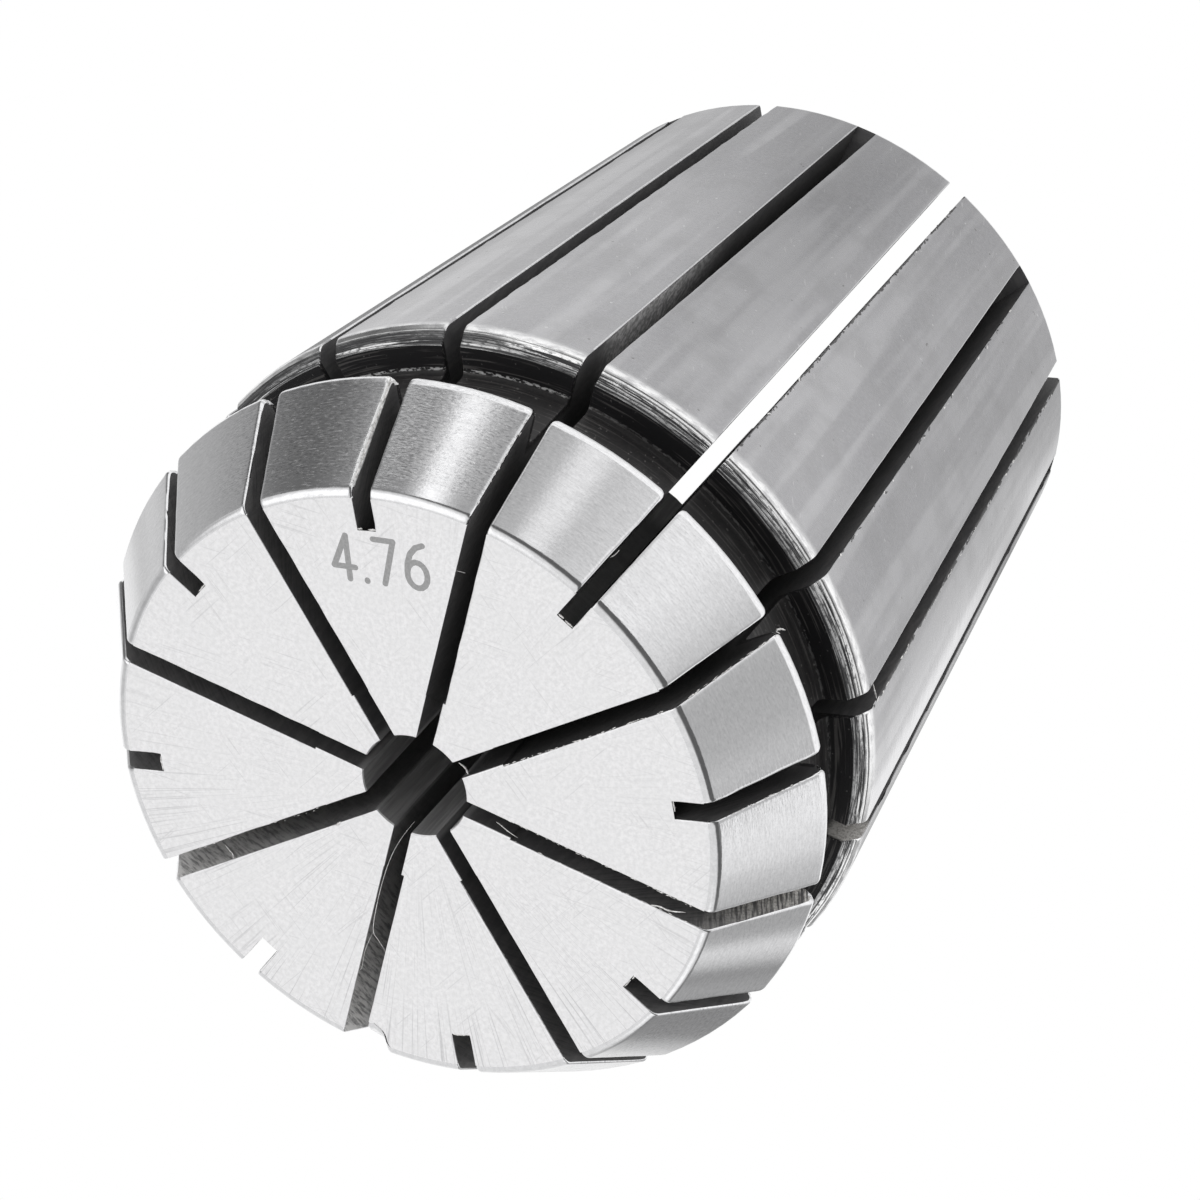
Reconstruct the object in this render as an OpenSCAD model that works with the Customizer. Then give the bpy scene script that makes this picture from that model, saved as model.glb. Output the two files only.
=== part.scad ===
// Spring collet, ER32 form, for a 3/16 inch shank.
// One piece of hardened spring steel: a turned and ground body that is slit
// eight times from the front and eight times from the back.
// It stands on its small rear end. +Z is the axis and points to the nose.
// All sizes in millimetres.

/* [Body] */
// Overall length, from the rear end to the front face
len_all = 40; // [39.6:0.1:40.6]
// Largest diameter of the 8 degree taper, at the groove
body_d = 33; // [32.6:0.1:33.4]
// Half angle of the body taper, in degrees
body_half_angle = 8; // [7.5:0.1:8.5]
// Height of the taper above the rear end
taper_len = 30; // [29.6:0.1:30.4]
// Radius of the rounded rear edge
rear_edge_r = 0.2; // [0.1:0.05:0.3]

/* [Nose] */
// Diameter of the sharp corner between the front face and the nose cone
face_d = 27.7; // [27:0.1:28]
// Half angle of the nose cone, in degrees
nose_half_angle = 30; // [29:0.5:31]
// Radius of the rounded rim of the front face
rim_r = 0.5; // [0.3:0.05:0.6]
// Radius of the rounded edge between the nose cone and the groove
nose_edge_r = 0.25; // [0.15:0.05:0.3]

/* [Groove] */
// Diameter of the groove floor, where the nut's extractor ring runs
groove_d = 29.2; // [28.8:0.1:29.6]
// Height of the groove's front wall above the rear end
groove_front_z = 34.6; // [34.4:0.1:34.8]
// Height of the groove's body wall above the rear end
groove_back_z = 30.8; // [30.7:0.1:31]
// Fillet radius in the two corners of the groove floor
groove_fillet = 0.3; // [0.2:0.05:0.4]
// Radial width of the turned chamfer between the groove and the taper
flank_w = 0.6; // [0.5:0.05:0.65]

/* [Bore] */
// Diameter of the gripping bore
bore_d = 4.7625; // [4.5:0.0125:5.2]
// Chamfer at the front mouth of the bore
bore_chamfer = 0.12; // [0.05:0.01:0.2]
// Diameter of the relief behind the gripping bore
relief_d = 10; // [9:0.5:10.5]
// Depth of the straight part of the relief
relief_len = 15; // [14:0.5:15.5]
// Chamfer at the rear mouth of the relief
relief_chamfer = 0.5; // [0.3:0.1:0.6]

/* [Slots] */
// Width of the eight slots cut from the front
front_slot_w = 0.9; // [0.8:0.05:1]
// Width of the eight slots cut from the back
back_slot_w = 0.85; // [0.75:0.05:0.95]
// Radius of the slitting saw that leaves the curved slot ends
saw_r = 40; // [38:0.5:42]
// Radius that the saw reaches in the front slots, so that they open the whole bore
front_saw_reach = 0; // [-0.4:0.1:0.4]
// Radius that the saw reaches in the back slots, just inside the bore wall
back_saw_reach = 2.2; // [2.1:0.02:2.24]
// Radius at which the back slots end on the front face
back_slot_end_r = 12.05; // [11.8:0.05:12.3]

/* [Hidden] */
slots_a_side = 8;
pitch = 360 / slots_a_side;
body_r = body_d / 2;
rear_r = body_r - taper_len * tan(body_half_angle);
face_r = face_d / 2;
groove_r = groove_d / 2;
// Half the turn of each rounded edge
rim_turn = 90 - nose_half_angle;
nose_turn = 90 + nose_half_angle;
rear_turn = 90 - body_half_angle;
// Distance from each sharp corner to where its rounding starts
rim_t = rim_r * tan(rim_turn / 2);
rear_t = rear_edge_r * tan(rear_turn / 2);
// Centres of the rounded edges, as [radius, height]
rim_c = [face_r - rim_t, len_all - rim_r];
nose_c = [face_r + (len_all - groove_front_z - nose_edge_r) * tan(nose_half_angle)
            - nose_edge_r / cos(nose_half_angle),
          groove_front_z + nose_edge_r];
rear_c = [rear_r - rear_t, rear_edge_r];
fillet_f = [groove_r + groove_fillet, groove_front_z - groove_fillet];
fillet_b = [groove_r + groove_fillet, groove_back_z + groove_fillet];
// Height of the drill point that closes the relief down to the bore
relief_point = (relief_d - bore_d) / 2 / tan(59);
// Where the saw's centre stops, for each set of slots: the front slots run out
// at the rear edge, and the back slots end on the front face
front_stop_z = sqrt(saw_r * saw_r - pow(saw_r + front_saw_reach - rear_r, 2));
back_stop_z = len_all - sqrt(saw_r * saw_r - pow(saw_r + back_saw_reach - back_slot_end_r, 2));

// Points of an arc about c, from angle a0 to angle a1 in n steps
function arc(c, r, a0, a1, n) =
    [for (i = [0:n]) let (a = a0 + (a1 - a0) * i / n) [c[0] + r * cos(a), c[1] + r * sin(a)]];

// Half section of the outside, from the axis at the face to the axis at the rear
outline = concat(
    [[0, len_all]],
    arc(rim_c, rim_r, 90, 90 - rim_turn, 6),
    arc(nose_c, nose_edge_r, nose_half_angle, -90, 8),
    arc(fillet_f, groove_fillet, 90, 180, 4),
    arc(fillet_b, groove_fillet, 180, 270, 4),
    [[body_r - flank_w, groove_back_z - 0.02]],
    [[body_r - 0.08, taper_len + 0.1]],
    [[body_r - 0.01, taper_len - 0.07]],
    arc(rear_c, rear_edge_r, -body_half_angle, -90, 5),
    [[0, 0]]
);

// Turned blank: nose cone, extraction groove, chamfer and 8 degree taper
module blank() {
    color("silver") rotate_extrude($fn = 192) polygon(outline);
}

// Gripping bore with its front chamfer, and the relief behind it
module bore() {
    color("dimgray") {
        translate([0, 0, -1]) cylinder(d = bore_d, h = len_all + 2, $fn = 96);
        translate([0, 0, len_all - bore_chamfer])
            cylinder(r1 = bore_d / 2, r2 = bore_d / 2 + bore_chamfer + 0.5,
                     h = bore_chamfer + 0.5, $fn = 96);
        translate([0, 0, -1]) cylinder(d = relief_d, h = relief_len + 1, $fn = 96);
        translate([0, 0, relief_len])
            cylinder(r1 = relief_d / 2, r2 = bore_d / 2, h = relief_point, $fn = 96);
        translate([0, 0, -0.5])
            cylinder(r1 = relief_d / 2 + relief_chamfer + 0.5, r2 = relief_d / 2,
                     h = relief_chamfer + 0.5, $fn = 96);
    }
}

// One saw cut: a disc that has stopped at height z, and the track behind it,
// which runs out past the front (dir = 1) or the rear (dir = -1)
module saw_cut(w, reach, z, dir) {
    color("dimgray") {
        translate([saw_r + reach, w / 2, z])
            rotate([90, 0, 0]) cylinder(r = saw_r, h = w, $fn = 360);
        translate([reach, -w / 2, dir > 0 ? z : -5])
            cube([20, w, dir > 0 ? len_all + 5 - z : z + 5]);
    }
}

// The whole collet. A front slot lies along +X; the back slots lie between.
module collet() {
    color("silver") difference() {
        blank();
        bore();
        for (k = [0:slots_a_side - 1]) {
            rotate([0, 0, k * pitch])
                saw_cut(front_slot_w, front_saw_reach, front_stop_z, 1);
            rotate([0, 0, (k + 0.5) * pitch])
                saw_cut(back_slot_w, back_saw_reach, back_stop_z, -1);
        }
    }
}

collet();
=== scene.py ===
import bpy, math
import numpy as np
from mathutils import Matrix, Vector
from mathutils.geometry import delaunay_2d_cdt


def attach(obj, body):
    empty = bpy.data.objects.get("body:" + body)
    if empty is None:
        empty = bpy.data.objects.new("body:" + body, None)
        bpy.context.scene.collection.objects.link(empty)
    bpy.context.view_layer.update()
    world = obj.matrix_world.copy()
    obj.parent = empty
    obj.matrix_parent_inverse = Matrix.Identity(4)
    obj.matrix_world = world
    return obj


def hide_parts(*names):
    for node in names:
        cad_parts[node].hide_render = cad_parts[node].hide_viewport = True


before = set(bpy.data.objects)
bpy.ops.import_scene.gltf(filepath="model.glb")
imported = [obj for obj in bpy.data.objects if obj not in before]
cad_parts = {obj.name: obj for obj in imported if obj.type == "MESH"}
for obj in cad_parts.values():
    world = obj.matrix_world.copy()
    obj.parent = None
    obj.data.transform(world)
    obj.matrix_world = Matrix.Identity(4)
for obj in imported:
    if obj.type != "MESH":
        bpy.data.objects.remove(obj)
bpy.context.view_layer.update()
MM = 0.001

# ------------------------------------------------------------------ sizes, mm
LEN, BODY_R, TAPER = 40.0, 16.5, 30.0
T8, T30 = math.tan(math.radians(8)), math.tan(math.radians(30))
REAR_R = BODY_R - TAPER * T8
FACE_R, RIM_R, NOSE_R = 13.85, 0.5, 0.5
MOUTH = 0.05                                 # chamfer of the bore's front mouth
GR_R, GR_F, GR_B, FIL = 14.6, 34.6, 30.8, 0.3
BORE_R, REL_R, REL_L = 2.38125, 5.0, 15.0
W_F, W_B = 0.45, 0.425                       # half widths of the slits
SAW = 40.0
F_SAW = (SAW + 0.0, math.sqrt(SAW ** 2 - (SAW - REAR_R) ** 2))
B_SAW = (SAW + 2.2, LEN - math.sqrt(SAW ** 2 - (SAW + 2.2 - 12.05) ** 2))
STEP_X = 4.62                                # where the inner part of the front slits narrows
STEP_H = 0.35                                # half width there, on the side that the second cut missed
STEP_SIDE = {0: -1, 2: 1, 4: 1, 8: 1, 10: -1, 12: -1, 14: -1}
FACE, NOSE, FLANK, TAPR, BLACK, REAR, WORN = range(7)


def smooth_noise(rng, s, wave, octaves=2):
    """Smooth random curve over the lengths s, about -1 to 1."""
    out = np.zeros(len(s))
    amp, tot = 1.0, 0.0
    for _ in range(octaves):
        n = int((s[-1] - s[0]) / wave) + 4
        v = rng.uniform(-1, 1, n)
        x = (s - s[0]) / wave
        i = np.floor(x).astype(int)
        f = x - i
        f = f * f * (3 - 2 * f)
        out += amp * (v[i] * (1 - f) + v[i + 1] * f)
        tot += amp
        amp *= 0.5
        wave *= 0.5
    return out / tot


# ------------------------------------------------------- profile, closed loop
P, TAG = [], []                              # TAG[i] is the finish of the edge from P[i] on


def put(pts, tag):
    for p in pts:
        if P and math.hypot(P[-1][0] - p[0], P[-1][1] - p[1]) < 1e-6:
            TAG[-1] = tag
            continue
        P.append((float(p[0]), float(p[1])))
        TAG.append(tag)


def line(a, b, step, ends=0.0):
    a, b = np.array(a, float), np.array(b, float)
    L = np.hypot(*(b - a))
    n = max(1, int(round((L - 2 * ends) / step)))
    s = list(np.linspace(ends, L - ends, n + 1))
    if ends:
        s = [0.0] + s + [L]
    return [tuple(a + (b - a) * x / L) for x in s]


def arc(c, r, a0, a1, n):
    return [(c[0] + r * math.cos(math.radians(a0 + (a1 - a0) * i / n)),
             c[1] + r * math.sin(math.radians(a0 + (a1 - a0) * i / n))) for i in range(n + 1)]


rim_c = (FACE_R - RIM_R * math.tan(math.radians(30)), LEN - RIM_R)
nose_c = (FACE_R + (LEN - GR_F - NOSE_R) * T30 - NOSE_R / math.cos(math.radians(30)), GR_F + NOSE_R)
rear_c = (REAR_R - 0.2 * math.tan(math.radians(41)), 0.2)
xi = math.sqrt(STEP_X ** 2 + STEP_H ** 2)      # radii at which the inner step meets the skin
xo = math.sqrt(STEP_X ** 2 + W_F ** 2)

put(line((BORE_R + MOUTH, LEN), (xi, LEN), 0.3, 0.03), FACE)
put(line((xo, LEN), (12.05, LEN), 0.36), FACE)
put(line((12.10, LEN), (rim_c[0], LEN), 0.3, 0.03), FACE)
put(arc(rim_c, RIM_R, 90, 30, 9), NOSE)
rim_end, nose_start = arc(rim_c, RIM_R, 90, 30, 9)[-1], arc(nose_c, NOSE_R, 30, -90, 10)[0]
put(line(rim_end, nose_start, 0.24, 0.03), NOSE)
put(arc(nose_c, NOSE_R, 30, -90, 10), NOSE)
put(line((nose_c[0], GR_F), (GR_R + FIL, GR_F), 0.4, 0.03), BLACK)
put(arc((GR_R + FIL, GR_F - FIL), FIL, 90, 180, 5), BLACK)
put(line((GR_R, GR_F - FIL), (GR_R, GR_B + FIL), 0.4), BLACK)
put(arc((GR_R + FIL, GR_B + FIL), FIL, 180, 270, 5), BLACK)
fl0, fl1 = np.array([BODY_R - 0.6, GR_B - 0.02]), np.array([BODY_R - 0.08, TAPER + 0.1])
put(line((GR_R + FIL, GR_B), fl0, 0.3), BLACK)
fdir = (fl1 - fl0) / np.hypot(*(fl1 - fl0))
fnor = np.array([-fdir[1], fdir[0]])
# soft shoulder where the chamfer meets the taper
SH_R = 0.65
tdir = np.array([-math.sin(math.radians(8)), -math.cos(math.radians(8))])
f_ang = math.degrees(math.atan2(fnor[1], fnor[0]))
sh_t = SH_R * math.tan(math.radians((f_ang + 8) / 2))
m_ = np.linalg.solve(np.stack([fdir, -tdir], 1), np.array([BODY_R, TAPER]) - fl0)
corner = fl0 + fdir * m_[0]
sh0 = corner - fdir * sh_t
sh_c = sh0 - fnor * SH_R
rings = []
cuts = (0.0, 0.17, 0.35, 0.50, 0.64, 0.77, 0.89, 1.0)
for k in range(7):                           # turned rings of the chamfer
    for f, h in ((0.0, 0.0), (0.18, -0.028), (0.45, -0.038), (0.75, -0.014)):
        rings.append(tuple(fl0 + (sh0 - fl0) * (cuts[k] + f * (cuts[k + 1] - cuts[k])) + fnor * h * (1.15 - 0.5 * k / 6)))
rings.append(tuple(sh0))
put(rings, FLANK)
sh_a = arc(sh_c, SH_R, f_ang, -8, 7)
put(sh_a, TAPR)
r_a = arc(rear_c, 0.2, -8, -90, 6)
put(line(sh_a[-1], r_a[0], 0.29, 0.05), TAPR)
put(r_a, REAR)
put(line((rear_c[0], 0), (REL_R + 0.5, 0), 0.8, 0.05), REAR)
put(line((REL_R + 0.5, 0), (REL_R, 0.5), 0.8), REAR)
put(line((REL_R, 0.5), (REL_R, REL_L), 1.1), BLACK)
cone_h = (REL_R - BORE_R) / math.tan(math.radians(59))


def on_cone(r):
    return REL_L + (REL_R - r) / (REL_R - BORE_R) * cone_h


put([(REL_R, REL_L), (xo, on_cone(xo)), (xi, on_cone(xi)), (3.6, on_cone(3.6)), (BORE_R, REL_L + cone_h)], BLACK)
put(line((BORE_R, REL_L + cone_h), (BORE_R, LEN - MOUTH), 0.9), BLACK)
put([(BORE_R, LEN - MOUTH), (BORE_R + MOUTH, LEN)], FACE)
if math.hypot(P[0][0] - P[-1][0], P[0][1] - P[-1][1]) < 1e-6:
    P.pop(); TAG.pop()


def inside(kind, x, z):
    c = F_SAW if kind == 0 else B_SAW
    return math.hypot(x - c[0], z - c[1]) - SAW


def crossing(kind, w, a, b):
    """Where the saw's circle crosses the skin between two profile points."""
    lo, hi = 0.0, 1.0
    f = lambda t: inside(kind, math.sqrt(max(0, (a[0] + (b[0] - a[0]) * t) ** 2 - w * w)), a[1] + (b[1] - a[1]) * t)
    s = f(lo)
    for _ in range(50):
        m = (lo + hi) / 2
        if (f(m) > 0) == (s > 0):
            lo = m
        else:
            hi = m
    return (a[0] + (b[0] - a[0]) * lo, a[1] + (b[1] - a[1]) * lo)


def sub(kind, w, p):
    """True where the slit of this kind is open at profile point p."""
    x, z = math.sqrt(max(0, p[0] ** 2 - w * w)), p[1]
    if inside(kind, x, z) <= 0:
        return True
    return z >= F_SAW[1] if kind == 0 else (z <= B_SAW[1] and x > 2.2)


ENDS = {}
for kind, w in ((0, W_F), (1, W_B)):
    found = []
    i = 0
    while i < len(P):
        a, b = P[i], P[(i + 1) % len(P)]
        if sub(kind, w, a) != sub(kind, w, b):
            e = crossing(kind, w, a, b)
            if math.hypot(e[0] - a[0], e[1] - a[1]) < 0.02:
                P[i] = e; found.append(e)
            elif math.hypot(e[0] - b[0], e[1] - b[1]) < 0.02:
                P[(i + 1) % len(P)] = e; found.append(e); i += 1
            else:
                P.insert(i + 1, e); TAG.insert(i + 1, TAG[i]); found.append(e); i += 1
        i += 1
    ENDS[kind] = found
P = np.array(P)
N = len(P)
nxt = np.roll(P, -1, 0) - P
prv = P - np.roll(P, 1, 0)


def unit(v):
    return v / np.maximum(1e-12, np.hypot(v[:, 0], v[:, 1]))[:, None]


n1, n0 = unit(np.stack([-nxt[:, 1], nxt[:, 0]], 1)), unit(np.stack([-prv[:, 1], prv[:, 0]], 1))
NRM = unit(n0 + n1)
for i in range(N):
    if TAG[i] == FLANK or TAG[i - 1] == FLANK:
        NRM[i] = fnor
SLEN = np.concatenate([[0], np.cumsum(np.hypot(nxt[:, 0], nxt[:, 1]))])[:N]


def index_of(p):
    return int(np.argmin(np.hypot(P[:, 0] - p[0], P[:, 1] - p[1])))


OPEN = {}
for kind, w in ((0, W_F), (1, W_B)):
    e = sorted(index_of(q) for q in ENDS[kind])
    assert len(e) == 2, (kind, ENDS[kind])
    # open rows run from o0 up to o1, round the loop
    mid = (e[0] + e[1]) // 2
    o0, o1 = (e[0], e[1]) if sub(kind, w, P[mid]) else (e[1], e[0])
    OPEN[kind] = (o0, o1)


def open_rows(kind):
    o0, o1 = OPEN[kind]
    return [(o0 + k) % N for k in range(((o1 - o0) % N) + 1)]


# ------------------------------------------------------------- mesh assembly
class Build:
    def __init__(self):
        self.v, self.key, self.f, self.m, self.smooth = [], {}, [], [], []

    def vert(self, p):
        k = (round(p[0] * 4e4), round(p[1] * 4e4), round(p[2] * 4e4))
        if k not in self.key:
            self.key[k] = len(self.v)
            self.v.append(p)
        return self.key[k]

    def face(self, ids, mat, smooth=True):
        out = []
        for i in ids:
            if not out or out[-1] != i:
                out.append(i)
        if len(out) > 1 and out[0] == out[-1]:
            out.pop()
        if len(out) >= 3 and len(set(out)) == len(out):
            self.f.append(out); self.m.append(mat); self.smooth.append(smooth)


K = 3                                         # rows of each rounded slit edge
B = Build()
rng = np.random.RandomState(7)
S_AZ = [math.radians(22.5 * j) for j in range(16)]


CHIP = ((0.0, 0.86), (0.2, 0.93), (0.5, 0.80), (0.67, 0.71), (0.81, 0.56), (0.90, 0.35), (0.97, 0.17), (1.10, 0.03), (1.20, 0.0))


def chip_depth(d):
    """Depth of the broken corner beside one front slit, at distance d from the slit's wall."""
    return float(np.interp(d, [q[0] for q in CHIP], [q[1] for q in CHIP]))


def chip(r, z, d):
    D = chip_depth(d)
    if D <= 0 or r < 11.9 or z < 36.0:
        return r, z
    if z > LEN - 1e-6:
        return r - D * min(1.0, (r - 11.9) / (rim_c[0] - 11.9)), z
    return r - max(0.0, D - 0.31 * (LEN - z)), z


def edge_tables(j, side):
    """For slit j and its side, the vertex ids of each row: [row][k], k = 0 on the skin, K on the wall."""
    kind = j % 2
    w = W_F if kind == 0 else W_B
    if j in (6, 8):
        w += 0.03
    step = STEP_SIDE.get(j, 0) == side
    rows = set(open_rows(kind))
    o0, o1 = OPEN[kind]
    s = SLEN
    fine = smooth_noise(rng, s, 0.5, 3)
    rough = smooth_noise(rng, s, 2.2, 2)
    burr = np.clip(smooth_noise(rng, s, 1.1, 2) * 1.6 - 0.35, 0, 1)
    # distance along the loop to the nearer end of the open rows
    tot = SLEN[-1] + np.hypot(*(P[0] - P[-1]))
    s_mid = s[index_of((nose_c[0] + NOSE_R * 0.8, nose_c[1] - NOSE_R * 0.6))]
    table, tvals = [], np.zeros(N)
    for i in range(N):
        r, z = P[i]
        if i in rows:
            x = math.sqrt(max(0.0, r * r - w * w))
            half = w
            if step and r <= xi + 1e-4:
                half = STEP_H
            elif kind == 0 and r <= xi + 1e-4:
                half = w - 0.02
            d = min((s[i] - s[o0]) % tot, (s[o1] - s[i]) % tot)
            fade = min(1.0, d / 0.35)
            tag = TAG[i]
            if r < 3.0:
                b = 0.016
            elif tag == FACE:
                b = 0.045 if side < 0 else 0.03
            elif tag == NOSE:
                b = (0.17 if j == 1 else 0.12) if side > 0 else 0.075
            elif tag == TAPR:
                b = 0.065 if side > 0 else 0.05
            else:
                b = 0.05
            if side < 0 and tag == TAPR and j in (13, 15):
                b = 0.08
            near_ = abs(s[i] - s_mid)
            if near_ < 1.0 and r > 14.7:
                b += 0.20 * (1 - near_) ** 2         # the nose's rear corners are rounded off
            if r > 3.0:
                b *= 1 + 0.25 * rough[i]
                # jagged burrs stand over the clockwise edges of the taper
                amp = (0.035 if side < 0 else 0.015) if tag == FACE else 0.014
                if side > 0 and tag == NOSE:
                    amp = 0.07 if j == 1 else 0.035
                if side < 0 and tag in (TAPR, FLANK):
                    amp = {13: 0.08, 15: 0.06, 14: 0.05, 0: 0.03}.get(j, 0.06)
                jag = amp * (fine[i] * 0.5 + (burr[i] if side < 0 else 0.4 * burr[i]))
            else:
                jag = 0.0
            b *= fade; jag *= fade
            col = []
            for k in range(K + 1):
                ph = 0.5 * math.pi * k / K
                t = half + b * (1 - math.sin(ph)) - jag * math.cos(ph) * 0.8
                dep = b * (1 - math.cos(ph)) - (0.35 * jag * math.sin(2 * ph) if k < K else 0)
                rr, zz = r - NRM[i][0] * dep, z - NRM[i][1] * dep
                if j == 8 and side > 0:
                    rr, zz = chip(rr, zz, 0.0)
                xx = math.sqrt(max(1e-9, rr * rr - t * t))
                col.append((xx, side * t, zz))
            tvals[i] = half + b - jag * 0.8
        else:
            # closed rows: the seam narrows away from the slit's ends
            if kind == 1:
                half = w * min(1.0, r / 12.05) if z > LEN - 0.04 else None
                if half is None:                # bore wall between the face and the slit's end
                    u = (z - P[OPEN[1][1]][1]) / (LEN - MOUTH - P[OPEN[1][1]][1])
                    half = w * (1 - u) + w * (BORE_R / 12.05) * u
            else:
                half = w * r / REAR_R if z < 0.6 else w * (REL_R / REAR_R) + (w - w * REL_R / REAR_R) * min(1.0, (z - 0.5) / 8.9)
            half = min(half, w)
            xx = math.sqrt(max(1e-9, r * r - half * half))
            col = [(xx, side * half, z)] * (K + 1)
            tvals[i] = half
        table.append(col)
    ca, sa = math.cos(S_AZ[j]), math.sin(S_AZ[j])
    ids, loc = [], []
    for i, col in enumerate(table):
        ids.append([B.vert((p[0] * ca - p[1] * sa, p[0] * sa + p[1] * ca, p[2])) for p in col])
        loc.append(col)
    return {"ids": ids, "loc": loc, "t": tvals, "rows": rows, "w": w, "step": step}


E = {(j, sd): edge_tables(j, sd) for j in range(16) for sd in (1, -1)}
WALL = BLACK

# skin of each sector, from slit j's + side to slit j+1's - side
COLS = 6
for j in range(16):
    L, R = E[(j, 1)], E[((j + 1) % 16, -1)]
    grid = []
    for i in range(N):
        r, z = P[i]
        pl, pr = L["loc"][i][0], R["loc"][i][0]
        rl = math.hypot(pl[0], pl[1])
        fl = S_AZ[j] + math.atan2(pl[1], pl[0])
        fr = S_AZ[j] + math.radians(22.5) + math.atan2(pr[1], pr[0])
        span = fr - fl
        sup = min(0.09 / r, 0.18 * span)
        at = [fl + sup + (span - 2 * sup) * c / COLS for c in range(COLS + 1)]
        if j == 8:                               # closer columns at the broken corner
            near = [0.09, 0.20, 0.35, 0.50, 0.67, 0.81, 0.90, 0.97, 1.03, 1.10, 1.20]
            k_ = min(1.0, 0.4 * span * r / 1.20)
            at = [fl + q * k_ / r for q in near] + [fl + 1.20 * k_ / r + (span - 1.20 * k_ / r - sup) * (c + 1) / COLS for c in range(COLS)]
        row = [L["ids"][i][0]]
        for a in at:
            rr, zz = chip(r, z, (a - fl) * r) if j == 8 else (r, z)
            row.append(B.vert((rr * math.cos(a), rr * math.sin(a), zz)))
        row.append(R["ids"][i][0])
        grid.append(row)
    for i in range(N):
        k = (i + 1) % N
        for c in range(len(grid[0]) - 1):
            B.face([grid[i][c], grid[i][c + 1], grid[k][c + 1], grid[k][c]], TAG[i])

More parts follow.
